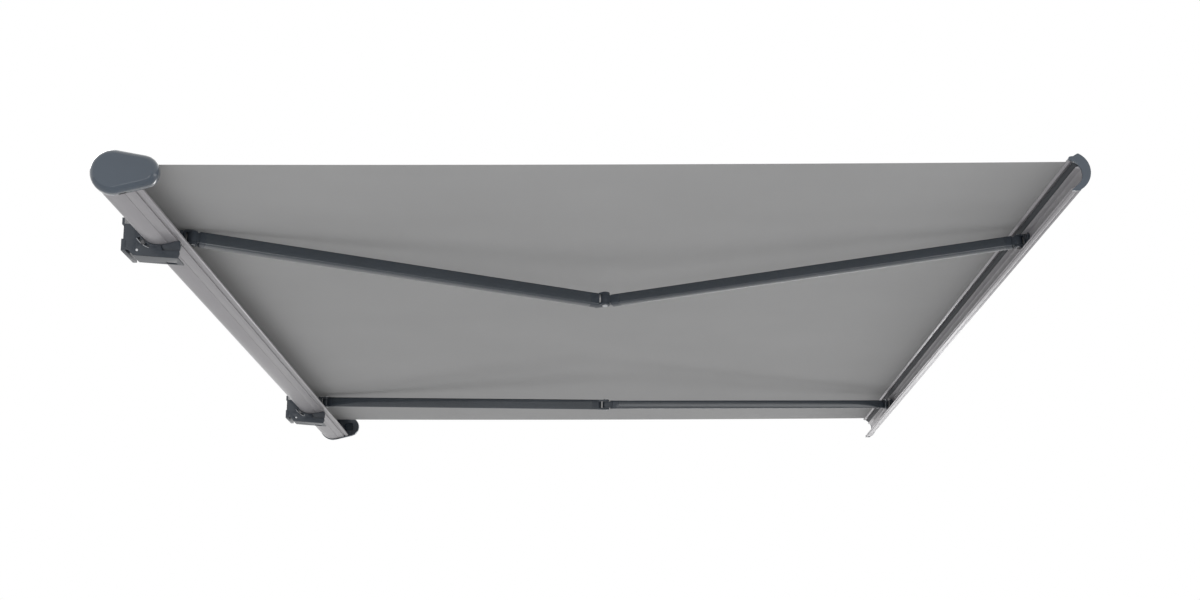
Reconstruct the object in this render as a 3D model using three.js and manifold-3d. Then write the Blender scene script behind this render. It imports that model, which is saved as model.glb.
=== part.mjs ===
// Folding-arm awning in a full cassette, seen open, in millimetres.
// X runs along the width, the wall is the plane y = 0 and the awning reaches out to -y, +Z is up.
// The origin is on the wall plane, at mid width, level with the middle of the cassette's round back.
// Left is the -X end. Distances from the wall are given as positive numbers named OUT.

import * as THREE from 'three';
import { mergeVertices } from 'three/addons/utils/BufferGeometryUtils.js';
import Module from 'manifold-3d';

const wasm = await Module();
wasm.setup();

// Driving dimensions of the whole awning
const WIDTH = 5000;
const SHOULDER_PIN = { x: 1658, out: 190, z: 2.5 };
const FRONT_PIN_OUT = 2944;
const ELBOW_IN = 507;
const ELBOW_DROP = 91.5;
const ARM_SPACING_CLOSED = 42;
const GAP = 0.3;

// The cassette's outline: a large round at the back and a small one at the nose
const BACK_ROUND = { y: -117, z: 0, r: 67 };
const NOSE_ROUND = { y: -206.8, z: 2.3, r: 48.2 };
const PROFILE_INSET = 3;
const CASSETTE_WALL = 3;
const PROFILE_END = WIDTH / 2 - 38.3;
const SEAM_OUT = 149;
const HOOD_SEAM = THREE.MathUtils.degToRad(74.6);

// The roller and what turns with it
const ROLLER = { y: -107, z: -8 };
const TUBE_R = 39;
const TUBE_WALL = 1.8;
const TUBE_END = 2440;
const ROLL_R = 43;
const CLOTH_HALF = 2428;
const CLOTH_THICK = 1;
const CLOTH_SAG = 4;

// The rail under the cassette's mouth
const RAIL = { groove: 179, lip: 188.4, edge: 200.3, deep: 6 };

// The front bar: a crescent section with a pocket under its top lip, closed by crescent caps
const BAR_END = 2466;
const BAR_ROUND = { y: -2938, z: 14, r: 59 };
const BAR_HOLLOW = { y: -2930, z: 6, r: 46 };
const BAR_FLOOR = -42;
const POCKET = { low: 34.5, top: 49, lip: -2942.5, back: -2968 };
const CRESCENT = { r: 62, hollow: 44.5, thick: 12 };
const CLOTH_FRONT = { out: 2942, z: 55 };

// The arms
const REAR_TUBE = { wide: 36, high: 46, wall: 2.5, round: 6 };
const FRONT_TUBE = { wide: 32, high: 38, wall: 2.5, round: 5 };
const SHOULDER = { eye: 18, half: 17, bore: 8.3, pin: 8, ear: 6, neck: 22, tube: 42 };
const ELBOW = { eye: 15, half: 14.5, bore: 7.3, pin: 7, ear: 17, neck: 20, tube: 50 };
const FRONT_END = { eye: 15, half: 14.5, bore: 6.3, pin: 6, ear: 5, neck: 20, tube: 40 };
const PLUG = 28;

// The wall brackets: the same part twice, named by the x of its left edge
const BRACKET_X = { left: -1852, right: 1606 };
const WALL_PLATE = { wide: 175, top: 24, bottom: -86, thick: 8, ledge: 14, ledgeTop: -52 };
const CHEEK_THICK = 6;
const SLOT = { r: 75, half: 3.9, middle: -52, spread: 18.7 };
const CLAMP = { x: 37, z: -64, hole: 3.4, out: 159, deep: 23 };

const STEEL = '#b9bcc0';
const ANTHRACITE = '#3d444b';
const SILVER = '#a39fa5';
const CLOTH = '#98989a';
const RUBBER = '#2c3136';

// Angles that follow from the driving dimensions
const HALF_REACH = (FRONT_PIN_OUT - SHOULDER_PIN.out) / 2;
const ELBOW_SIDE = Math.hypot(ELBOW_IN, ELBOW_DROP);
const ARM_LENGTH = Math.hypot(HALF_REACH, ELBOW_SIDE);
const OFFSET = ARM_SPACING_CLOSED / 2;
const TUBE_LINE = Math.sqrt(ARM_LENGTH ** 2 - OFFSET ** 2);
const ARM_TILT = Math.atan2(ELBOW_DROP, ELBOW_IN);
const OPEN_ANGLE = Math.asin(ELBOW_SIDE / ARM_LENGTH) + Math.asin(OFFSET / ARM_LENGTH);
const FOLD = Math.PI / 2 - OPEN_ANGLE;

const rad = THREE.MathUtils.degToRad;

// Points and outlines

function polar(round, r, angle) {
  return [round.y + r * Math.cos(angle), round.z + r * Math.sin(angle)];
}

function arc(round, r, from, to, steps) {
  const points = [];
  for (let i = 0; i <= steps; i++) points.push(polar(round, r, from + ((to - from) * i) / steps));
  return points;
}

function roundedBox(wide, high, r, steps = 3) {
  const points = [];
  for (let corner = 0; corner < 4; corner++) {
    const a = (corner * Math.PI) / 2;
    const sx = corner === 0 || corner === 3 ? 1 : -1;
    const sy = corner < 2 ? 1 : -1;
    const centre = { y: sx * (wide / 2 - r), z: sy * (high / 2 - r) };
    points.push(...arc(centre, r, a, a + Math.PI / 2, steps));
  }
  return points;
}

// The cassette's outline, pulled in all round by an inset

const AXIS = Math.atan2(NOSE_ROUND.z - BACK_ROUND.z, NOSE_ROUND.y - BACK_ROUND.y);
const SPAN = Math.hypot(NOSE_ROUND.z - BACK_ROUND.z, NOSE_ROUND.y - BACK_ROUND.y);
const TANGENT = Math.acos((BACK_ROUND.r - NOSE_ROUND.r) / SPAN);

function pill(inset, backSteps = 26, noseSteps = 14) {
  const back = arc(BACK_ROUND, BACK_ROUND.r - inset, AXIS + TANGENT, AXIS - TANGENT + 2 * Math.PI, backSteps);
  const nose = arc(NOSE_ROUND, NOSE_ROUND.r - inset, AXIS - TANGENT, AXIS + TANGENT, noseSteps);
  return [...back, ...nose];
}

// Height of the cassette's flat underside or top at a distance from the wall

function flatZ(side, out, inset) {
  const angle = AXIS + side * TANGENT;
  const [y0, z0] = polar(BACK_ROUND, BACK_ROUND.r - inset, angle);
  const [y1, z1] = polar(NOSE_ROUND, NOSE_ROUND.r - inset, angle);
  return z0 + ((-out - y0) / (y1 - y0)) * (z1 - z0);
}

const under = (out, lift = 0) => [-out, flatZ(1, out, PROFILE_INSET) + lift];
const over = (out, drop = 0) => [-out, flatZ(-1, out, PROFILE_INSET) - drop];

// Solids

function extruded(points, holes, depth) {
  const shape = new THREE.Shape(points.map(([a, b]) => new THREE.Vector2(a, b)));
  for (const hole of holes) shape.holes.push(new THREE.Path(hole.map(([a, b]) => new THREE.Vector2(a, b))));
  return new THREE.ExtrudeGeometry(shape, { depth, bevelEnabled: false });
}

// A section in y and z, run along x
function run(points, x0, x1, holes = []) {
  const toX = new THREE.Matrix4().makeBasis(
    new THREE.Vector3(0, 1, 0), new THREE.Vector3(0, 0, 1), new THREE.Vector3(1, 0, 0));
  return extruded(points, holes, x1 - x0).applyMatrix4(toX).translate(x0, 0, 0);
}

// An outline in x and y, given a height
function slab(points, z0, z1, holes = []) {
  return extruded(points, holes, z1 - z0).translate(0, 0, z0);
}

function rod(axis, r, from, to, centre = [0, 0, 0], sides = 16) {
  const geometry = new THREE.CylinderGeometry(r, r, to - from, sides);
  if (axis === 'x') geometry.rotateZ(-Math.PI / 2);
  if (axis === 'z') geometry.rotateX(Math.PI / 2);
  const middle = (from + to) / 2;
  const shift = { x: [middle, 0, 0], y: [0, middle, 0], z: [0, 0, middle] }[axis];
  return geometry.translate(centre[0] + shift[0], centre[1] + shift[1], centre[2] + shift[2]);
}

function box(x0, x1, y0, y1, z0, z1) {
  const geometry = new THREE.BoxGeometry(x1 - x0, y1 - y0, z1 - z0);
  return geometry.translate((x0 + x1) / 2, (y0 + y1) / 2, (z0 + z1) / 2);
}

function toManifold(geometry) {
  const bare = geometry.clone();
  bare.deleteAttribute('normal');
  bare.deleteAttribute('uv');
  const merged = mergeVertices(bare, 1e-4);
  return new wasm.Manifold(new wasm.Mesh({
    numProp: 3,
    vertProperties: new Float32Array(merged.attributes.position.array),
    triVerts: new Uint32Array(merged.index.array),
  }));
}

function fromManifold(manifold) {
  const mesh = manifold.getMesh();
  const geometry = new THREE.BufferGeometry();
  geometry.setAttribute('position', new THREE.Float32BufferAttribute(mesh.vertProperties, 3));
  geometry.setIndex(new THREE.Uint32BufferAttribute(mesh.triVerts, 1));
  geometry.computeVertexNormals();
  return geometry;
}

function joined(geometries, cuts = []) {
  let body = toManifold(geometries[0]);
  for (const part of geometries.slice(1)) body = body.add(toManifold(part));
  for (const part of cuts) body = body.subtract(toManifold(part));
  return fromManifold(body);
}

// The same shape for the other side of the awning
function mirrored(geometry) {
  const copy = geometry.index ? geometry.toNonIndexed() : geometry.clone();
  copy.scale(-1, 1, 1);
  const position = copy.attributes.position;
  for (let i = 0; i < position.count; i += 3) {
    const second = [position.getX(i + 1), position.getY(i + 1), position.getZ(i + 1)];
    position.setXYZ(i + 1, position.getX(i + 2), position.getY(i + 2), position.getZ(i + 2));
    position.setXYZ(i + 2, ...second);
  }
  copy.computeVertexNormals();
  return copy;
}

function add(group, name, geometry, color, roughness = 0.5, metalness = 0.3) {
  const material = new THREE.MeshStandardMaterial({ color, roughness, metalness });
  const mesh = new THREE.Mesh(geometry, material);
  mesh.name = name;
  group.add(mesh);
}

function addPair(groups, name, geometry, color, roughness, metalness) {
  add(groups.left, `${name}_left`, geometry, color, roughness, metalness);
  add(groups.right, `${name}_right`, mirrored(geometry), color, roughness, metalness);
}

// Cassette profiles

function backShell() {
  const r = BACK_ROUND.r - PROFILE_INSET;
  const bottom = AXIS + TANGENT - 2 * Math.PI;
  const section = [
    ...arc(BACK_ROUND, r, HOOD_SEAM, bottom, 26),
    under(SEAM_OUT),
    under(SEAM_OUT, CASSETTE_WALL),
    ...arc(BACK_ROUND, r - CASSETTE_WALL, bottom, HOOD_SEAM, 26),
  ];
  return run(section, -PROFILE_END, PROFILE_END);
}

function hood() {
  const r = BACK_ROUND.r - PROFILE_INSET;
  const front = AXIS - TANGENT;
  const seam = HOOD_SEAM + 0.012;
  const tongue = HOOD_SEAM - 0.14;
  const edge = 198;
  const section = [
    ...arc(BACK_ROUND, r, seam, front, 5),
    over(edge, 0),
    over(edge + 2, 1.2),
    over(edge + 1, 2.5),
    ...arc(BACK_ROUND, r - 2.5, front, seam + 0.07, 5),
    ...arc(BACK_ROUND, r - 5.5, seam + 0.07, tongue, 3),
    ...arc(BACK_ROUND, r - CASSETTE_WALL - GAP, tongue, seam, 3),
  ];
  return run(section, -PROFILE_END, PROFILE_END);
}

// The rail under the mouth carries the arms. A groove parts its face from the light front lip.
function armRail() {
  const { groove, lip, edge, deep } = RAIL;
  const wall = 2.5;
  const joint = SEAM_OUT + 0.9;
  const section = [
    under(joint),
    under(groove),
    under(groove, deep),
    under(lip, deep),
    under(lip),
    under(edge - 1.8),
    under(edge, 1.8),
    under(edge, 8),
    under(edge - 3.3, 8),
    under(edge - 3.3, 3.5),
    under(lip + wall, 3.5),
    under(lip + wall, deep + 3),
    under(groove - wall, deep + 3),
    under(groove - wall, 5),
    under(joint, 5),
    under(joint, 5.8),
    under(joint - 12, 5.8),
    under(joint - 12, CASSETTE_WALL + GAP),
    under(joint, CASSETTE_WALL + GAP),
  ];
  return run(section, -PROFILE_END, PROFILE_END);
}

// Cassette ends

function bandedCup(rings) {
  const outlines = rings.map(([inset]) => pill(inset, 20, 9));
  const count = outlines[0].length;
  const positions = [];
  rings.forEach(([, x], k) => outlines[k].forEach(([y, z]) => positions.push(x, y, z)));
  const index = [];
  for (let k = 0; k + 1 < rings.length; k++) {
    for (let i = 0; i < count; i++) {
      const next = (i + 1) % count;
      const a = k * count + i;
      const b = k * count + next;
      index.push(a, b, a + count, b, b + count, a + count);
    }
  }
  const last = (rings.length - 1) * count;
  const faces = THREE.ShapeUtils.triangulateShape(outlines[0].map(([y, z]) => new THREE.Vector2(y, z)), []);
  for (const [a, b, c] of faces) index.push(a, c, b);
  const inner = THREE.ShapeUtils.triangulateShape(outlines.at(-1).map(([y, z]) => new THREE.Vector2(y, z)), []);
  for (const [a, b, c] of inner) index.push(last + a, last + b, last + c);
  const geometry = new THREE.BufferGeometry();
  geometry.setAttribute('position', new THREE.Float32BufferAttribute(positions, 3));
  geometry.setIndex(index);
  geometry.computeVertexNormals();
  return geometry;
}

// A moulded cup with a flat face and a wide bulging shoulder. Its rim laps over the profiles' ends.
function endCap() {
  const face = -WIDTH / 2;
  const rim = -(PROFILE_END - 7);
  const bevel = 15;
  const wall = 2.6;
  const shoulder = [[bevel, 0], [10.4, 3.4], [6.3, 7.7], [3, 13], [0.8, 19], [0, 25]];
  const rings = shoulder.map(([inset, depth]) => [inset, face + depth]);
  rings.push([0, rim], [wall, rim], [wall, face + 25]);
  rings.push([wall + 3.6, face + 14], [bevel - 1, face + 4.2]);
  const notch = box(rim - 11, rim + 1, -SEAM_OUT - 9, -SEAM_OUT + 13, -80, -56);
  return joined([bandedCup(rings)], [notch]);
}

function endPlate() {
  const x = -PROFILE_END - GAP;
  const outline = pill(PROFILE_INSET + GAP, 22, 12);
  const window = roundedBox(46, 40, 8).map(([y, z]) => [y + NOSE_ROUND.y + 6, z + NOSE_ROUND.z]);
  return run(outline, x - 5, x, [window.reverse()]);
}

// Roller, cloth and motor

function ring(rOuter, rInner, from, to, sides = 32) {
  const profile = [[rInner, from], [rOuter, from], [rOuter, to], [rInner, to], [rInner, from]];
  const points = profile.map(([r, h]) => new THREE.Vector2(r, h));
  const geometry = new THREE.LatheGeometry(points, sides).rotateZ(-Math.PI / 2);
  return geometry.translate(0, ROLLER.y, ROLLER.z);
}

const onRoller = (r, from, to, sides = 32) => rod('x', r, from, to, [0, ROLLER.y, ROLLER.z], sides);

function cloth() {
  const start = { y: ROLLER.y, z: ROLLER.z + ROLL_R + GAP };
  const steps = 12;
  const top = [];
  const bottom = [];
  for (let i = 0; i <= steps; i++) {
    const t = i / steps;
    const y = start.y + t * (-CLOTH_FRONT.out - start.y);
    const z = start.z + t * (CLOTH_FRONT.z - CLOTH_THICK / 2 - start.z) - 4 * CLOTH_SAG * t * (1 - t);
    bottom.push([y, z]);
    top.push([y, z + CLOTH_THICK]);
  }
  const bead = [[0, 2], [-5, 2], [-5, -2], [0, -2]];
  const edge = bead.map(([y, z]) => [y - CLOTH_FRONT.out, z + CLOTH_FRONT.z]);
  return run([...top, ...edge, ...bottom.reverse()], -CLOTH_HALF, CLOTH_HALF);
}

function motorBody() {
  return joined([onRoller(29, 1760, 2437), onRoller(7.5, 1734, 1762, 12)]);
}

function motorHead() {
  return joined([
    onRoller(34, TUBE_END + 2, PROFILE_END - GAP),
    box(2438, PROFILE_END - GAP, ROLLER.y - 18, ROLLER.y + 18, ROLLER.z - 18, ROLLER.z + 18),
  ]);
}

function driveWheel() {
  const r = TUBE_R - TUBE_WALL - GAP;
  const cuts = [onRoller(7.9, 1730, 1762, 12)];
  for (let i = 0; i < 6; i++) {
    const a = (i * Math.PI) / 3;
    cuts.push(rod('x', 7, 1730, 1762, [0, ROLLER.y + 24 * Math.cos(a), ROLLER.z + 24 * Math.sin(a)], 8));
  }
  return joined([onRoller(r, 1736, 1756)], cuts);
}

function idlerPlug() {
  return joined([onRoller(TUBE_R - TUBE_WALL - GAP, -2438, -2398)], [onRoller(6.4, -2440, -2390, 16)]);
}

function idlerPin() {
  return joined([
    onRoller(6, -PROFILE_END + GAP, -2402, 16),
    onRoller(16, -PROFILE_END + GAP, -PROFILE_END + 7, 24),
  ]);
}

// Arms. The rear arm lies along +x of its own frame with the shoulder pin at the origin,
// and the elbow pin stands OFFSET to the side where the front arm folds against it.

function tube(size, from, to) {
  const outer = roundedBox(size.wide, size.high, size.round);
  const inner = roundedBox(size.wide - 2 * size.wall, size.high - 2 * size.wall, size.round - size.wall);
  return run(outer, from, to, [inner.reverse()]);
}

function block(size, from, to) {
  return run(roundedBox(size.wide, size.high, size.round), from, to);
}

function plug(size, from, to) {
  const less = 2 * (size.wall + GAP);
  return run(roundedBox(size.wide - less, size.high - less, size.round - size.wall), from, to);
}

// The straight end casting: an eye on the pin, a neck and a plug in the tube
function eyeEnd(end, size) {
  const neck = box(0, end.neck + 2, -end.eye + 3, end.eye - 3, -end.half, end.half);
  return joined([
    rod('z', end.eye, -end.half, end.half, [0, 0, 0], 24),
    neck,
    block(size, end.neck, end.tube - GAP),
    plug(size, end.tube - GAP - 1, end.tube + PLUG),
  ], [rod('z', end.bore, -40, 40)]);
}

// The outline of an elbow casting's ear or eye, from the tube's end to the offset pin
function elbowOutline(side, r, wide) {
  const pin = { y: TUBE_LINE, z: side * OFFSET };
  const from = side > 0 ? rad(-75) : rad(-150);
  const to = side > 0 ? rad(150) : rad(75);
  const back = TUBE_LINE - ELBOW.neck - 2;
  const round = arc(pin, r, from, to, 12);
  return [[back, (-side * wide) / 2], ...(side > 0 ? round : round.reverse()), [back, (side * wide) / 2]];
}

function rearElbowFork() {
  const end = TUBE_LINE - ELBOW.tube;
  const inner = ELBOW.half + 0.8;
  const outer = REAR_TUBE.high / 2;
  const outline = elbowOutline(-1, ELBOW.ear, REAR_TUBE.wide);
  outline.reverse();
  const pin = [TUBE_LINE, -OFFSET, 0];
  return joined([
    plug(REAR_TUBE, end - PLUG, end + GAP + 1),
    block(REAR_TUBE, end + GAP, TUBE_LINE - ELBOW.neck),
    slab(outline, inner, outer),
    slab(outline, -outer, -inner),
  ], [rod('z', ELBOW.bore, -40, 40, pin)]);
}

function frontElbowEye() {
  const end = TUBE_LINE - ELBOW.tube;
  const outline = elbowOutline(1, ELBOW.eye, FRONT_TUBE.wide - 6);
  const pin = [TUBE_LINE, OFFSET, 0];
  return joined([
    plug(FRONT_TUBE, end - PLUG, end + GAP + 1),
    block(FRONT_TUBE, end + GAP, TUBE_LINE - ELBOW.neck),
    slab(outline, -ELBOW.half, ELBOW.half),
  ], [rod('z', ELBOW.bore, -40, 40, pin)]);
}

function headedPin(r, half, centre) {
  return joined([
    rod('z', r, -half - 1, half + 1, centre, 18),
    rod('z', r + 3, half + GAP, half + 3.5, centre, 18),
    rod('z', r + 3, -half - 3.5, -half - GAP, centre, 18),
  ]);
}

// The tension spring inside the rear arm, drawn with an open pitch
class Helix extends THREE.Curve {
  getPoint(t) {
    const turns = 10;
    const r = 9;
    const from = SHOULDER.tube + PLUG + 4;
    const to = TUBE_LINE - ELBOW.tube - PLUG - 4;
    const a = 2 * Math.PI * turns * t;
    return new THREE.Vector3(from + (to - from) * t, r * Math.cos(a), r * Math.sin(a));
  }
}

function armSpring() {
  const wire = new THREE.Shape(arc({ y: 0, z: 0 }, 2.6, 0, (2 * Math.PI * 4) / 5, 4)
    .map(([a, b]) => new THREE.Vector2(a, b)));
  return new THREE.ExtrudeGeometry(wire, { steps: 80, extrudePath: new Helix() });
}

// A fork that holds an arm's pin, with a spigot about which it tilts. Its origin is the pin.
function knuckle(end, back, spigotR, spigotEnd) {
  const r = end.eye - 1;
  const inner = end.half + 0.6;
  const outer = inner + end.ear;
  const towards = Math.sign(back);
  const web = back - towards * 4.7;
  const ear = [...arc({ y: 0, z: 0 }, r, towards > 0 ? Math.PI : 0, towards > 0 ? 2 * Math.PI : Math.PI, 12)];
  ear.push([towards > 0 ? r : -r, back], [towards > 0 ? -r : r, back]);
  const webBox = box(-r, r, Math.min(web, back), Math.max(web, back), -outer, outer);
  const spigot = rod('y', spigotR, Math.min(back - towards, spigotEnd), Math.max(back - towards, spigotEnd));
  return joined([slab(ear, inner, outer), slab(ear, -outer, -inner), webBox, spigot],
    [rod('z', end.bore, -60, 60)]);
}

const SHOULDER_WEB = 26;
const SHOULDER_SPIGOT = { r: 10, end: 35 };
const FRONT_WEB = -22;
const FRONT_SPIGOT = { r: 8, end: -29 };

// The bracket on the rail in which the shoulder knuckle tilts
function shoulderBracket() {
  const back = SHOULDER_PIN.out - SHOULDER_SPIGOT.end - 0.5;
  const front = SHOULDER_PIN.out - SHOULDER_WEB - 1.5;
  const foot = RAIL.groove - 3.2;
  const section = [
    under(back, 6.1), under(foot, 5.3), under(foot, 10), under(front + 3, 13),
    [-front, -20], [-front, 24], [-back, 24],
  ].reverse();
  const body = run(section, -44, 44);
  const bore = rod('y', SHOULDER_SPIGOT.r + 0.4, -front - 5, -back + 5, [0, 0, SHOULDER_PIN.z]);
  const corner = box(20, 60, -front - 2, -back + 2, 8, 40).rotateY(rad(20));
  return joined([body], [bore, corner, mirrored(corner)]).translate(-SHOULDER_PIN.x, 0, 0);
}

// Front bar

function frontProfile() {
  const foot = BAR_FLOOR;
  const slotTop = CLOTH_FRONT.z + 3;
  const slotFloor = CLOTH_FRONT.z - 3;
  const section = [
    ...arc(BAR_ROUND, BAR_ROUND.r, rad(112), rad(224), 22),
    [-2969.5, foot + 1], [-2962, foot + 1], [-2962, foot + 2.5], [-2955, foot + 2.5], [-2955, foot],
    [-2946, foot], [-2946, foot + 4.5], [-2941.5, foot + 4.5], [-2941.5, foot + 6],
    ...arc(BAR_HOLLOW, BAR_HOLLOW.r, rad(218), rad(157), 10),
    [-2958, POCKET.low - 6], [-2957.5, POCKET.low - 3],
    [POCKET.back, POCKET.low], [POCKET.back, POCKET.top - 5], [POCKET.back + 6, POCKET.top],
    [POCKET.lip - 2, POCKET.top], [POCKET.lip, POCKET.top - 1], [-2935, slotFloor],
    [-2935, slotFloor + 1.4], [-2941.5, slotFloor + 1.4], [-2941.5, slotFloor], [-2948, slotFloor],
    [-2948, slotTop], [-2941.5, slotTop], [-2941.5, slotTop - 1.2], [-2936, slotTop - 1.2],
    [-2938, slotTop + 1.4], [-2942, slotTop + 2.5], [-2950, slotTop + 3.5], [-2957, slotTop + 8.5],
  ];
  const chamber = [
    ...arc(BAR_ROUND, BAR_ROUND.r - 2.5, rad(122), rad(214), 14),
    ...arc(BAR_HOLLOW, BAR_HOLLOW.r + 2.5, rad(211), rad(152), 12),
    [POCKET.back - 3, POCKET.top - 4], [POCKET.back + 1.5, POCKET.top + 2.5],
  ];
  const end = BAR_END - CRESCENT.thick - GAP;
  return run(section, -end, end, [chamber.reverse()]);
}

// The soft dark strip in the bar's pocket, on which the cassette's hood closes
function barSeal() {
  const end = BAR_END - CRESCENT.thick - 3;
  const section = [
    [-2967.4, 35.4], [-2967.4, 43.6], [-2961.8, 48.4], [-2951, 48.4], [-2949, 45], [-2956, 40.5], [-2959.5, 33.8],
  ];
  return run(section.reverse(), -end, end);
}

function crescentCap() {
  const lowest = BAR_FLOOR - 1;
  const section = [
    ...arc(BAR_ROUND, CRESCENT.r, rad(115), rad(240), 20),
    [-2966, lowest], [-2943, lowest], [-2943, lowest + 2.5],
    ...arc(BAR_HOLLOW, CRESCENT.hollow, rad(212), rad(106), 18),
    [-2937.5, 49.5], [-2934.5, 52.5], [-2935.5, 58], [-2939, 61], [-2949, 62], [-2960, 69],
  ];
  return run(section, -BAR_END, -BAR_END + CRESCENT.thick);
}

function frontBracket() {
  const face = -(FRONT_PIN_OUT - FRONT_WEB + 1);
  const section = [
    ...arc(BAR_HOLLOW, BAR_HOLLOW.r - 0.4, rad(158), rad(208), 8),
    [face, -15], [face, 23],
  ];
  const bore = rod('y', FRONT_SPIGOT.r + 0.4, face - 20, face + 5, [0, 0, SHOULDER_PIN.z]);
  return joined([run(section, -40, 40)], [bore]).translate(-SHOULDER_PIN.x, 0, 0);
}

// Wall brackets and what clamps the cassette in them

const SHOE = { from: rad(-6), inner: 64.5, outer: 68, claw: 147 };

function wallBracket() {
  const { wide, top, bottom, thick, ledge, ledgeTop } = WALL_PLATE;
  const plateSection = [
    [0, bottom], [0, top], [-thick, top], [-thick, ledgeTop + 4], [-ledge, ledgeTop - 2], [-ledge, bottom],
  ];
  const seat = SHOE.outer + 0.5;
  const cheek = [
    [-thick + 2, -80], [-thick + 2, 4],
    ...arc(BACK_ROUND, BACK_ROUND.r - PROFILE_INSET + 1.2, rad(2), rad(-98), 18),
    [-134, -85.2], [-189, -86], [-191, -97], [-186, -110], [-40, -101], [-24, -84],
  ].reverse();
  const web = [
    [-thick + 2, -70], [-thick + 2, 4],
    ...arc(BACK_ROUND, seat, rad(2), rad(-48), 10),
    [-58, -82], [-50, -92], [-30, -88],
  ].reverse();
  const flange = [[-38, -101], [-186, -112], [-186, -107], [-38, -96]].reverse();
  const slot = [
    ...arc(BACK_ROUND, SLOT.r + SLOT.half, rad(SLOT.middle - SLOT.spread), rad(SLOT.middle + SLOT.spread), 8),
    ...arc(BACK_ROUND, SLOT.r - SLOT.half, rad(SLOT.middle + SLOT.spread), rad(SLOT.middle - SLOT.spread), 8),
  ];
  const bolts = [40, wide - 40].map((x) => rod('y', 6.5, -20, 5, [x, 0, -2]));
  const openings = [
    run(slot, -1, CHEEK_THICK + 1),
    rod('x', 5, -1, CHEEK_THICK + 1, [0, -52, -84], 16),
    run(roundedBox(34, 40, 6).map(([y, z]) => [y - 150, z - 108]), 64, 92),
  ];
  const recess = box(-1, 25, -thick, 1, -47, 1);
  return joined([
    run(plateSection, 0, wide),
    run(cheek, 2, 2 + CHEEK_THICK),
    run(web, 66, 74),
    run(flange, 3, 104),
  ], [recess, ...bolts, ...openings.map((g) => g.translate(2, 0, 0))]);
}

// The cradle grips the cassette's back and hooks into its seam, and turns in the wall bracket
function cradle() {
  const bottom = AXIS + TANGENT - 2 * Math.PI;
  const claw = SHOE.claw;
  const lower = flatZ(1, claw, PROFILE_INSET);
  const shoe = [
    ...arc(BACK_ROUND, SHOE.inner, SHOE.from, bottom, 20),
    [-claw, lower - 0.5],
    [-claw, lower - 6],
    ...arc(BACK_ROUND, SHOE.outer, bottom, SHOE.from, 20),
  ].reverse();
  const middle = rad(SLOT.middle);
  const rib = [
    ...arc(BACK_ROUND, SHOE.outer - 1, middle - 0.34, middle + 0.34, 8),
    ...arc(BACK_ROUND, SLOT.r + 8, middle + 0.22, middle - 0.22, 6),
  ].reverse();
  const beak = [
    [-128, -66], [-134, -80], [-150, -82], [-157, -74], [-157, lower - 1], [-claw + 2, lower - 1],
  ];
  const nose = [
    [-126, -66], [-132, -83], [-188.5, -84.4], [-190.5, -82], [-190.5, -56], under(186, -0.8),
    under(claw + 3, -0.8), [-claw + 2, lower - 1],
  ];
  const [y, z] = polar(BACK_ROUND, SLOT.r, middle);
  return joined([run(shoe, 12, 150), run(rib, 12, 20), run(beak, 12, 62), run(nose, 12, 15.5)],
    [rod('x', 4.3, 5, 40, [0, y, z], 16), rod('z', CLAMP.hole, -100, -50, [CLAMP.x, -146, 0], 12)]);
}

function tiltBolt() {
  const [y, z] = polar(BACK_ROUND, SLOT.r, rad(SLOT.middle));
  return joined([
    rod('x', 3.6, -1, 32, [0, y, z], 16),
    rod('x', 6.5, -6, 1.6, [0, y, z], 6),
    rod('x', 8, 0.2, 1.7, [0, y, z], 20),
  ]);
}

function tiltNut() {
  const [y, z] = polar(BACK_ROUND, SLOT.r, rad(SLOT.middle));
  return joined([rod('x', 6.5, 20.4, 27, [0, y, z], 6)], [rod('x', 3.9, 15, 35, [0, y, z], 16)]);
}

function clampJaw() {
  const lift = -0.5;
  const back = CLAMP.out;
  const front = CLAMP.out + CLAMP.deep;
  const section = [
    under(back, lift), under(front, lift), under(front + 2, lift - 8), under(front - 4, lift - 16),
    under(back, lift - 18),
  ];
  return joined([run(section, CLAMP.x - 21, CLAMP.x + 21)],
    [rod('y', CLAMP.hole, -front - 18, -back + 9, [CLAMP.x, 0, CLAMP.z], 12)]);
}

function clampScrew() {
  const from = -CLAMP.out - CLAMP.deep - 4;
  const centre = [CLAMP.x, 0, CLAMP.z];
  return joined([
    rod('y', 3, from, -CLAMP.out - 1, centre, 12),
    rod('y', 6, from - 5, from + 0.5, centre, 6),
  ]);
}

// Assembly

const awning = new THREE.Group();

function placedBracket(side) {
  const group = new THREE.Group();
  group.position.x = BRACKET_X[side];
  awning.add(group);
  add(group, `wall_bracket_${side}`, wallBracket(), ANTHRACITE);
  add(group, `cradle_${side}`, cradle(), ANTHRACITE);
  add(group, `tilt_bolt_${side}`, tiltBolt(), STEEL, 0.3, 0.9);
  add(group, `tilt_nut_${side}`, tiltNut(), STEEL, 0.3, 0.9);
  add(group, `clamp_jaw_${side}`, clampJaw(), STEEL, 0.3, 0.9);
  add(group, `clamp_screw_${side}`, clampScrew(), STEEL, 0.3, 0.9);
}

placedBracket('left');
placedBracket('right');

add(awning, 'cassette_back_shell', backShell(), SILVER);
add(awning, 'cassette_hood', hood(), SILVER);
add(awning, 'arm_rail', armRail(), SILVER);
addPair({ left: awning, right: awning }, 'end_plate', endPlate(), STEEL);
addPair({ left: awning, right: awning }, 'cassette_end_cap', endCap(), ANTHRACITE, 0.45, 0);
addPair({ left: awning, right: awning }, 'shoulder_bracket', shoulderBracket(), ANTHRACITE);

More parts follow.
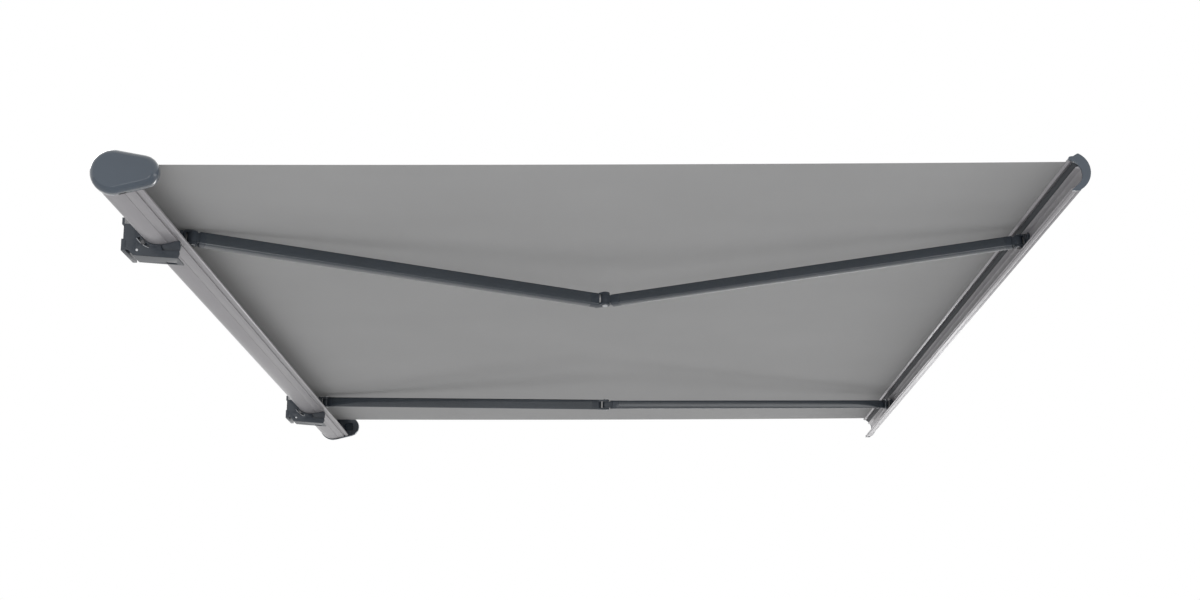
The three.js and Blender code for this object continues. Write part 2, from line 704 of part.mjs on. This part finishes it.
add(awning, 'roller_tube', ring(TUBE_R, TUBE_R - TUBE_WALL, -TUBE_END, TUBE_END), STEEL);
add(awning, 'cloth_roll', ring(ROLL_R, TUBE_R + GAP, -CLOTH_HALF, CLOTH_HALF), CLOTH, 0.9, 0);
add(awning, 'motor_body', motorBody(), STEEL);
add(awning, 'motor_head', motorHead(), ANTHRACITE, 0.6, 0);
add(awning, 'motor_drive_wheel', driveWheel(), ANTHRACITE, 0.6, 0);
add(awning, 'motor_crown', ring(TUBE_R - TUBE_WALL - GAP, 29.5, 2400, 2425), ANTHRACITE, 0.6, 0);
add(awning, 'idler_plug', idlerPlug(), ANTHRACITE, 0.6, 0);
add(awning, 'idler_pin', idlerPin(), STEEL);
add(awning, 'awning_cloth', cloth(), CLOTH, 0.9, 0);

add(awning, 'front_profile', frontProfile(), SILVER);
add(awning, 'bar_seal', barSeal(), RUBBER, 0.8, 0);
addPair({ left: awning, right: awning }, 'front_end_cap', crescentCap(), ANTHRACITE, 0.45, 0);
addPair({ left: awning, right: awning }, 'front_bracket', frontBracket(), ANTHRACITE);

function tiltedAt(side, out) {
  const sign = side === 'left' ? 1 : -1;
  const group = new THREE.Group();
  group.position.set(-sign * SHOULDER_PIN.x, -out, SHOULDER_PIN.z);
  group.rotation.y = sign * ARM_TILT;
  awning.add(group);
  return group;
}

function foldedIn(tilted, side, angle) {
  const group = new THREE.Group();
  group.rotation.z = side === 'left' ? angle : -angle;
  tilted.add(group);
  return group;
}

const shoulder = { left: tiltedAt('left', SHOULDER_PIN.out), right: tiltedAt('right', SHOULDER_PIN.out) };
const front = { left: tiltedAt('left', FRONT_PIN_OUT), right: tiltedAt('right', FRONT_PIN_OUT) };
const rearArm = { left: foldedIn(shoulder.left, 'left', -FOLD), right: foldedIn(shoulder.right, 'right', -FOLD) };
const frontArm = { left: foldedIn(front.left, 'left', FOLD), right: foldedIn(front.right, 'right', FOLD) };

addPair(shoulder, 'shoulder_knuckle',
  knuckle(SHOULDER, SHOULDER_WEB, SHOULDER_SPIGOT.r, SHOULDER_SPIGOT.end), ANTHRACITE);
addPair(shoulder, 'shoulder_pin', headedPin(SHOULDER.pin, SHOULDER.half + 0.6 + SHOULDER.ear, [0, 0, 0]), STEEL);
addPair(rearArm, 'rear_arm_tube', tube(REAR_TUBE, SHOULDER.tube, TUBE_LINE - ELBOW.tube), ANTHRACITE);
addPair(rearArm, 'shoulder_end', eyeEnd(SHOULDER, REAR_TUBE), ANTHRACITE);
addPair(rearArm, 'rear_elbow_fork', rearElbowFork(), ANTHRACITE);
addPair(rearArm, 'elbow_pin', headedPin(ELBOW.pin, REAR_TUBE.high / 2, [TUBE_LINE, -OFFSET, 0]), STEEL);
addPair(rearArm, 'arm_spring', armSpring(), STEEL);
addPair(frontArm, 'front_arm_tube', tube(FRONT_TUBE, FRONT_END.tube, TUBE_LINE - ELBOW.tube), ANTHRACITE);
addPair(frontArm, 'front_elbow_eye', frontElbowEye(), ANTHRACITE);
addPair(frontArm, 'front_end', eyeEnd(FRONT_END, FRONT_TUBE), ANTHRACITE);
addPair(front, 'front_knuckle', knuckle(FRONT_END, FRONT_WEB, FRONT_SPIGOT.r, FRONT_SPIGOT.end), ANTHRACITE);
addPair(front, 'front_pin', headedPin(FRONT_END.pin, FRONT_END.half + 0.6 + FRONT_END.ear, [0, 0, 0]), STEEL);

export default awning;
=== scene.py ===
import math

import bpy
from mathutils import Matrix, Vector


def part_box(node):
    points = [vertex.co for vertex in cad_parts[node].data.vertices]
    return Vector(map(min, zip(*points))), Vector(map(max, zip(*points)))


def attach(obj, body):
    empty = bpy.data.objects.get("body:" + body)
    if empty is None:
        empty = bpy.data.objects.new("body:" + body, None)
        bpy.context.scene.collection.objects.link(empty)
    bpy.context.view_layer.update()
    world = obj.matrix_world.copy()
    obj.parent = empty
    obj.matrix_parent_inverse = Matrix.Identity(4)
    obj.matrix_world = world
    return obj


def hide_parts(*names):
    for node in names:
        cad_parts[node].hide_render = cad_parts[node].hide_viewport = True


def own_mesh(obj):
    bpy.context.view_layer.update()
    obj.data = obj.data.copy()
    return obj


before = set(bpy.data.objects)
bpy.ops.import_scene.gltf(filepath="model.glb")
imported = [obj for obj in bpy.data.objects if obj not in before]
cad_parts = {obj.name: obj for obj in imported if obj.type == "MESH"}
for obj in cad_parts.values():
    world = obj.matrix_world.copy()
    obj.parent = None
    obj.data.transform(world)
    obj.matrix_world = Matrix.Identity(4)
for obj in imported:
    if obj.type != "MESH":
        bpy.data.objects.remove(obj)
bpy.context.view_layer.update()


# The camera stands low and off the left end of the awning, looks along its width and
# up at the cloth. Its lens is the photograph's, taken as 1200 pixels wide.
photo_width = 1200
photo_focal = 2038.5
camera_place = Vector((-8.2571, -1.5824, -1.6427))
yaw, pitch, roll = 0.0047, 0.2149, 0.0048
forward = Vector((math.cos(yaw) * math.cos(pitch), math.sin(yaw) * math.cos(pitch), math.sin(pitch)))
level_right = forward.cross(Vector((0, 0, 1))).normalized()
level_up = level_right.cross(forward)
right = math.cos(roll) * level_right + math.sin(roll) * level_up
up = math.cos(roll) * level_up - math.sin(roll) * level_right

camera_data = bpy.data.cameras.new("photo_camera")
camera = bpy.data.objects.new("photo_camera", camera_data)
bpy.context.scene.collection.objects.link(camera)
camera_data.sensor_width = 36
camera_data.lens = photo_focal * camera_data.sensor_width / photo_width
camera_data.clip_end = 200
turn = Matrix((right, up, -forward)).transposed()
camera.matrix_world = Matrix.Translation(camera_place) @ turn.to_4x4()
bpy.context.scene.camera = camera


# The terrace floor: a plain pale plane a person's height and more below the awning, which
# throws light up onto the underside. The world is a plain sky, pure white where the camera
# or a reflection meets it, and a little dimmer as light.
floor_side, floor_level = 60, -2.6
bpy.ops.object.select_all(action="DESELECT")
bpy.ops.mesh.primitive_plane_add(size=floor_side, location=(0, 0, floor_level))
floor = bpy.context.object
floor.name = "floor"
bpy.ops.object.transform_apply(location=True)

floor_paint = bpy.data.materials.new("pale_floor")
floor_paint.use_nodes = True
floor_shader = floor_paint.node_tree.nodes["Principled BSDF"]
floor_shader.inputs["Base Color"].default_value = (0.86, 0.86, 0.86, 1)
floor_shader.inputs["Roughness"].default_value = 0.9
floor.data.materials.append(floor_paint)

sky_strength_as_light, sky_strength_seen = 0.66, 1.0
world = bpy.data.worlds.new("white_sky")
bpy.context.scene.world = world
world.use_nodes = True
sky_nodes, sky_links = world.node_tree.nodes, world.node_tree.links
sky_nodes.clear()
sky_out = sky_nodes.new("ShaderNodeOutputWorld")
seen = sky_nodes.new("ShaderNodeMixShader")
light_path = sky_nodes.new("ShaderNodeLightPath")
sky_light = sky_nodes.new("ShaderNodeBackground")
sky_light.inputs["Color"].default_value = (1, 1, 1, 1)
sky_light.inputs["Strength"].default_value = sky_strength_as_light
sky_seen = sky_nodes.new("ShaderNodeBackground")
sky_seen.inputs["Color"].default_value = (1, 1, 1, 1)
sky_seen.inputs["Strength"].default_value = sky_strength_seen
shown = sky_nodes.new("ShaderNodeMath")
shown.operation = "MAXIMUM"
sky_links.new(light_path.outputs["Is Camera Ray"], shown.inputs[0])
sky_links.new(light_path.outputs["Is Glossy Ray"], shown.inputs[1])
sky_links.new(shown.outputs["Value"], seen.inputs["Fac"])
sky_links.new(sky_light.outputs["Background"], seen.inputs[1])
sky_links.new(sky_seen.outputs["Background"], seen.inputs[2])
sky_links.new(seen.outputs["Shader"], sky_out.inputs["Surface"])

bpy.context.scene.view_settings.view_transform = "Standard"


# Four soft studio lamps: a wide one under the cloth from the camera's side, one low in
# front, one above the wall side, and one low beyond the far end that edges the arms. Each
# gives its place, the point it is turned to, its two sides and its power.
def soft_lamp(name, place, target, size, watts):
    lamp_data = bpy.data.lights.new(name, "AREA")
    lamp_data.shape = "RECTANGLE"
    lamp_data.size, lamp_data.size_y = size
    lamp_data.energy = watts
    lamp = bpy.data.objects.new(name, lamp_data)
    bpy.context.scene.collection.objects.link(lamp)
    lamp.location = place
    lamp.rotation_mode = "QUATERNION"
    lamp.rotation_quaternion = (Vector(target) - Vector(place)).to_track_quat("-Z", "Y")


cloth_middle, near_cap = (0, -1.5, 0), (-2.5, -0.1, 0)
soft_lamp("under_lamp", (-7.5, -1.5, -2.2), cloth_middle, (5, 1.2), 105)
soft_lamp("front_lamp", (-2, -8, -1.6), cloth_middle, (6, 1.4), 50)
soft_lamp("wall_lamp", (1.8, 2.8, 3.2), near_cap, (3.0, 3.0), 125)
soft_lamp("far_lamp", (8.0, -3.6, -2.1), cloth_middle, (3, 0.8), 45)


# The extruded profiles: back shell, hood, arm rail and front profile. Aluminium, pressed
# through a die, sawn to length and powder-coated in a silky light grey with metal flake.
def only(piece):
    bpy.ops.object.select_all(action="DESELECT")
    piece.select_set(True)
    bpy.context.view_layer.objects.active = piece


same_point = 0.00002
flat_enough, sharp_enough = math.radians(0.6), math.radians(32)


def finished(node, body, finish, edge=0.0006, segments=2, smooth=28):
    """A copy of the frame's solid with its facets merged, its edges broken and smooth rounds."""
    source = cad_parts[node]
    piece = bpy.data.objects.new(node + "_finished", source.data.copy())
    bpy.context.scene.collection.objects.link(piece)
    only(piece)
    bpy.ops.object.mode_set(mode="EDIT")
    bpy.ops.mesh.select_all(action="SELECT")
    bpy.ops.mesh.remove_doubles(threshold=same_point)
    bpy.ops.mesh.dissolve_limited(angle_limit=flat_enough)
    bpy.ops.object.mode_set(mode="OBJECT")
    if edge:
        rounding = piece.modifiers.new("broken_edges", "BEVEL")
        rounding.width = edge
        rounding.segments = segments
        rounding.limit_method = "ANGLE"
        rounding.angle_limit = sharp_enough
        rounding.harden_normals = False
        bpy.ops.object.modifier_apply(modifier=rounding.name)
    bpy.ops.object.shade_smooth_by_angle(angle=math.radians(smooth))
    piece.data.materials.clear()
    piece.data.materials.append(finish)
    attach(piece, body)
    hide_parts(node)
    return piece


def grained(name, color, roughness, metallic, grain, depth, mottle=0.08, coat=0.0):
    """A coated or bare metal, or a plastic: fine grain in the bump and a slow change of tone."""
    gloss_spread = 0.06
    material = bpy.data.materials.new(name)
    material.use_nodes = True
    nodes, links = material.node_tree.nodes, material.node_tree.links
    shader = nodes["Principled BSDF"]
    shader.inputs["Metallic"].default_value = metallic
    shader.inputs["Coat Weight"].default_value = coat
    place = nodes.new("ShaderNodeTexCoord")
    slow = nodes.new("ShaderNodeTexNoise")
    slow.inputs["Scale"].default_value = 3.0
    slow.inputs["Detail"].default_value = 4.0
    tone = nodes.new("ShaderNodeValToRGB")
    tone.color_ramp.elements[0].position = 0.3
    tone.color_ramp.elements[1].position = 0.7
    tone.color_ramp.elements[0].color = (*[c * (1 - mottle) for c in color], 1)
    tone.color_ramp.elements[1].color = (*[min(1, c * (1 + mottle)) for c in color], 1)
    fine = nodes.new("ShaderNodeTexNoise")
    fine.inputs["Scale"].default_value = grain
    fine.inputs["Detail"].default_value = 3.0
    gloss = nodes.new("ShaderNodeMapRange")
    gloss.inputs["To Min"].default_value = roughness - gloss_spread
    gloss.inputs["To Max"].default_value = roughness + gloss_spread
    bump = nodes.new("ShaderNodeBump")
    bump.inputs["Strength"].default_value = 0.25
    bump.inputs["Distance"].default_value = depth
    links.new(place.outputs["Object"], slow.inputs["Vector"])
    links.new(place.outputs["Object"], fine.inputs["Vector"])
    links.new(slow.outputs["Fac"], tone.inputs["Fac"])
    links.new(tone.outputs["Color"], shader.inputs["Base Color"])
    links.new(fine.outputs["Fac"], gloss.inputs["Value"])
    links.new(gloss.outputs["Result"], shader.inputs["Roughness"])
    links.new(fine.outputs["Fac"], bump.inputs["Height"])
    links.new(bump.outputs["Normal"], shader.inputs["Normal"])
    return material


silky_grey = grained("silky_grey_coat", (0.345, 0.335, 0.350), 0.33, 0.3, 1400, 0.00004, mottle=0.03)
for profile in ("cassette_back_shell", "cassette_hood", "arm_rail"):
    finished(profile, "cassette", silky_grey, edge=0.0004)
finished("front_profile", "front_bar", silky_grey, edge=0.0004)


# The end caps close the cassette: cast cups with a flat face and a wide rounded shoulder,
# painted slate grey, pushed over the profiles' ends. The crescents close the front bar.
slate_paint = grained("slate_paint", (0.053, 0.072, 0.097), 0.24, 0.0, 900, 0.00002, coat=0.5)
plug_rubber = grained("plug_rubber", (0.012, 0.013, 0.015), 0.7, 0.0, 400, 0.00008)
plug_middle, plug_size = Vector((2.4600, -0.1470, -0.0608)), Vector((0.0110, 0.0214, 0.0014))
plug_edge, underside_slope = 0.0006, -0.241
for side in ("left", "right"):
    finished("cassette_end_cap_" + side, "cassette", slate_paint, edge=0.0008, smooth=32)
    finished("front_end_cap_" + side, "front_bar", slate_paint, edge=0.0015, segments=3)

    # A black rubber plug shuts the notch where the profiles' seam runs into the cap.
    outward = -1 if side == "left" else 1
    bpy.ops.object.select_all(action="DESELECT")
    bpy.ops.mesh.primitive_cube_add(size=1)
    plug = bpy.context.object
    plug.name = "seam_plug_" + side
    for vertex in plug.data.vertices:
        along = vertex.co.y * plug_size.y
        level = plug_middle.z + underside_slope * along
        vertex.co = (outward * (plug_middle.x + vertex.co.x * plug_size.x), plug_middle.y + along,
                     level + vertex.co.z * plug_size.z)
    bpy.ops.object.mode_set(mode="EDIT")
    bpy.ops.mesh.select_all(action="SELECT")
    bpy.ops.mesh.normals_make_consistent(inside=False)
    bpy.ops.mesh.bevel(offset=plug_edge, segments=2)
    bpy.ops.object.mode_set(mode="OBJECT")
    plug.data.materials.append(plug_rubber)
    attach(plug, "cassette")


# The castings that carry the load: wall brackets, cradles, clamp jaws, arm brackets,
# knuckles, forks and eyes. Pressure-cast aluminium under a satin anthracite powder coat. The
# end plates inside the caps are coated alike.
cast_coat = grained("anthracite_cast_coat", (0.036, 0.045, 0.058), 0.36, 0.0, 700, 0.00006, coat=0.2)
cast_pieces = {
    "wall_brackets": ["wall_bracket_left", "wall_bracket_right"],
    "cassette": [
        "cradle_left", "cradle_right", "shoulder_bracket_left", "shoulder_bracket_right",
        "clamp_jaw_left", "clamp_jaw_right",
    ],
    "front_bar": ["front_bracket_left", "front_bracket_right"],
}
for side in ("left", "right"):
    cast_pieces[side + "_shoulder_knuckle"] = ["shoulder_knuckle_" + side]
    cast_pieces[side + "_rear_arm"] = ["shoulder_end_" + side, "rear_elbow_fork_" + side]
    cast_pieces[side + "_front_arm"] = ["front_elbow_eye_" + side, "front_end_" + side]
    cast_pieces[side + "_front_knuckle"] = ["front_knuckle_" + side]
for body, names in cast_pieces.items():
    for name in names:
        finished(name, body, cast_coat, edge=0.0010)
for name in ("end_plate_left", "end_plate_right"):
    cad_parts[name].data.materials.clear()
    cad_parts[name].data.materials.append(cast_coat)


# The arm tubes: extruded aluminium box sections, anthracite like the castings but smoother,
# with the castings' spigots pushed into their ends.
tube_coat = grained("anthracite_tube_coat", (0.044, 0.053, 0.064), 0.26, 0.0, 1200, 0.00002, coat=0.5)
for side in ("left", "right"):
    for half in ("rear", "front"):
        tube, arm = half + "_arm_tube_" + side, side + "_" + half + "_arm"
        finished(tube, arm, tube_coat, edge=0.0, smooth=50)


# The pins, the clamp screws, the roller tube and the motor's body are zinc-plated steel,
# turned, pressed or rolled. The pins stay bright where they turn in their eyes.
zinc = grained("zinc_plate", (0.60, 0.61, 0.63), 0.3, 0.9, 500, 0.00003)
plated = {"cassette": ["clamp_screw_left", "clamp_screw_right"]}
for side in ("left", "right"):
    plated[side + "_shoulder_knuckle"] = ["shoulder_pin_" + side]
    plated[side + "_rear_arm"] = ["elbow_pin_" + side]
    plated[side + "_front_knuckle"] = ["front_pin_" + side]
for body, names in plated.items():
    for name in names:
        finished(name, body, zinc, edge=0.0006)
for name in ("idler_pin", "roller_tube", "motor_body"):
    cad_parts[name].data.materials.clear()
    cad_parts[name].data.materials.append(zinc)


# The tilt bolts and nuts, which lock the cradles' tilt, and the springs inside the rear arms
# are dark oiled steel, turned or wound.
oiled_steel = grained("oiled_steel", (0.13, 0.13, 0.135), 0.35, 0.85, 600, 0.00003)
for side in ("left", "right"):
    finished("tilt_bolt_" + side, "cassette", oiled_steel, edge=0.0006)
    finished("tilt_nut_" + side, "cassette", oiled_steel, edge=0.0006)
    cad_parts["arm_spring_" + side].data.materials.clear()
    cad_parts["arm_spring_" + side].data.materials.append(oiled_steel)


# The motor's head, its two rings and the roller's idler are moulded in black nylon and
# pushed into the roller's ends.
black_nylon = grained("black_nylon", (0.028, 0.028, 0.032), 0.5, 0.0, 500, 0.00006)
for name in ("motor_head", "motor_drive_wheel", "motor_crown", "idler_plug"):
    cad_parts[name].data.materials.clear()
    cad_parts[name].data.materials.append(black_nylon)


# Each wall bracket's cheek has a tilt slot. A thin bright plated arc along its lower edge
# is a painted glint on the slot's edge, and a small plated pin sits in the hole below it.
bracket_places = {"left": -1.852, "right": 1.606}
cheek_face = 0.002
round_back = Vector((0, -0.117, 0))
slot_middle, slot_spread = math.radians(-52), math.radians(18.7)
glint_radius, glint_width, glint_stand, glint_steps = 0.0806, 0.0012, 0.0003, 28
pin_place, pin_radius, pin_length, pin_dome = Vector((0, -0.052, -0.084)), 0.0046, 0.006, 0.0014
pin_sunk = 0.002
for side, bracket_x in bracket_places.items():
    # The bright plated arc strip is a painted highlight along the slot's lower edge.
    bpy.ops.object.select_all(action="DESELECT")
    bpy.ops.mesh.primitive_plane_add(size=1)
    glint_arc = bpy.context.object
    glint_arc.name = "slot_painted_glint_" + side
    start = slot_middle - slot_spread
    for vertex in glint_arc.data.vertices:
        reach = glint_radius + (glint_width if vertex.co.x > 0 else 0)
        out = -glint_stand if vertex.co.y > 0 else 0
        vertex.co = (bracket_x + cheek_face + out, round_back.y + reach * math.cos(start),
                     round_back.z + reach * math.sin(start))
    bpy.ops.object.mode_set(mode="EDIT")
    bpy.ops.mesh.select_all(action="SELECT")
    bpy.ops.mesh.spin(steps=glint_steps, angle=-2 * slot_spread, axis=(1, 0, 0),
                      center=(bracket_x, round_back.y, round_back.z))
    bpy.ops.mesh.select_all(action="SELECT")
    bpy.ops.mesh.normals_make_consistent(inside=False)
    bpy.ops.object.mode_set(mode="OBJECT")
    glint_arc.data.materials.append(zinc)
    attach(glint_arc, "wall_brackets")

    bpy.ops.object.select_all(action="DESELECT")
    bpy.ops.mesh.primitive_cylinder_add(
        vertices=32, radius=pin_radius, depth=pin_length, rotation=(0, math.pi / 2, 0),
        location=(bracket_x + cheek_face + pin_sunk, pin_place.y, pin_place.z))
    pin = bpy.context.object
    pin.name = "cheek_pin_" + side
    bpy.ops.object.transform_apply(location=True, rotation=True)
    dome = pin.modifiers.new("domed_head", "BEVEL")
    dome.width = pin_dome
    dome.segments = 4
    bpy.ops.object.modifier_apply(modifier=dome.name)
    bpy.ops.object.shade_smooth_by_angle(angle=math.radians(40))
    pin.data.materials.append(zinc)
    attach(pin, "wall_brackets")


# The seal in the front bar's pocket: a soft black rubber strip, extruded and pressed into
# the channel along the bar's whole length. Its near-black colour is partly painted shade,
# standing in for the shadow deep in the pocket.
seal_rubber_and_pocket_shade = grained("black_seal_rubber_painted_pocket_shade", (0.026, 0.031, 0.038), 0.62, 0.0, 420, 0.00010)
finished("bar_seal", "front_bar", seal_rubber_and_pocket_shade, edge=0.0010)


# The awning cloth: plain woven acrylic, one piece from the roller to the front bar. The
# arms' springs keep it tight, so it hardly sags.
def woven(name, color, thread):
    """Acrylic cloth: warp and weft as crossed bands in the bump, and a faint change of tone."""
    scale_for_metre_bands = 0.314
    material = bpy.data.materials.new(name)
    material.use_nodes = True
    nodes, links = material.node_tree.nodes, material.node_tree.links
    shader = nodes["Principled BSDF"]
    shader.inputs["Roughness"].default_value = 0.88
    shader.inputs["Sheen Weight"].default_value = 0.15
    place = nodes.new("ShaderNodeTexCoord")
    heights = []
    for direction in ("X", "Y"):
        band = nodes.new("ShaderNodeTexWave")
        band.bands_direction = direction
        band.inputs["Scale"].default_value = scale_for_metre_bands / thread
        band.inputs["Distortion"].default_value = 0.4
        band.inputs["Detail"].default_value = 1.0
        links.new(place.outputs["Object"], band.inputs["Vector"])
        heights.append(band.outputs["Fac"])
    crossed = nodes.new("ShaderNodeMath")
    crossed.operation = "MULTIPLY"
    links.new(heights[0], crossed.inputs[0])
    links.new(heights[1], crossed.inputs[1])
    slow = nodes.new("ShaderNodeTexNoise")
    slow.inputs["Scale"].default_value = 1.6
    slow.inputs["Detail"].default_value = 5.0
    tone = nodes.new("ShaderNodeValToRGB")
    tone.color_ramp.elements[0].position = 0.35
    tone.color_ramp.elements[1].position = 0.65
    tone.color_ramp.elements[0].color = (*[c * 0.975 for c in color], 1)
    tone.color_ramp.elements[1].color = (*[c * 1.025 for c in color], 1)
    bump = nodes.new("ShaderNodeBump")
    bump.inputs["Strength"].default_value = 0.35
    bump.inputs["Distance"].default_value = 0.00015
    links.new(place.outputs["Object"], slow.inputs["Vector"])
    links.new(slow.outputs["Fac"], tone.inputs["Fac"])
    links.new(tone.outputs["Color"], shader.inputs["Base Color"])
    links.new(crossed.outputs["Value"], bump.inputs["Height"])
    links.new(bump.outputs["Normal"], shader.inputs["Normal"])
    return material


acrylic = woven("grey_acrylic_cloth", (0.300, 0.300, 0.302), 0.0012)
cloth_low, cloth_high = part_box("awning_cloth")
roll_low, roll_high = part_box("cloth_roll")
roller_y = (roll_low.y + roll_high.y) / 2
cloth_half = cloth_high.x
cloth_thickness, cloth_sag, above_roll = 0.0006, 0.004, 0.0009
short_of_hem, below_hem = 0.0055, 0.0025
cloth_start = Vector((0, roller_y, roll_high.z + above_roll))
cloth_end = Vector((0, cloth_low.y + short_of_hem, cloth_high.z - below_hem))

bpy.ops.object.select_all(action="DESELECT")
bpy.ops.mesh.primitive_grid_add(x_subdivisions=96, y_subdivisions=72, size=2)
cloth = bpy.context.object
cloth.name = "acrylic_cloth"
for vertex in cloth.data.vertices:
    across, along = vertex.co.x, (vertex.co.y + 1) / 2
    level = cloth_start.z + along * (cloth_end.z - cloth_start.z)
    sag = 4 * cloth_sag * along * (1 - along)
    vertex.co = (across * cloth_half, cloth_start.y + along * (cloth_end.y - cloth_start.y), level - sag)
only(cloth)
thickness = cloth.modifiers.new("cloth_thickness", "SOLIDIFY")
thickness.thickness = cloth_thickness
thickness.offset = 0
bpy.ops.object.modifier_apply(modifier=thickness.name)
bpy.ops.object.shade_smooth_by_angle(angle=math.radians(40))
cloth.data.materials.append(acrylic)
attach(cloth, "cassette")
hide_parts("awning_cloth")
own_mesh(cloth)

# The cloth left on the roller: close turns, wound tight.
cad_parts["cloth_roll"].data.materials.clear()
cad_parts["cloth_roll"].data.materials.append(acrylic)
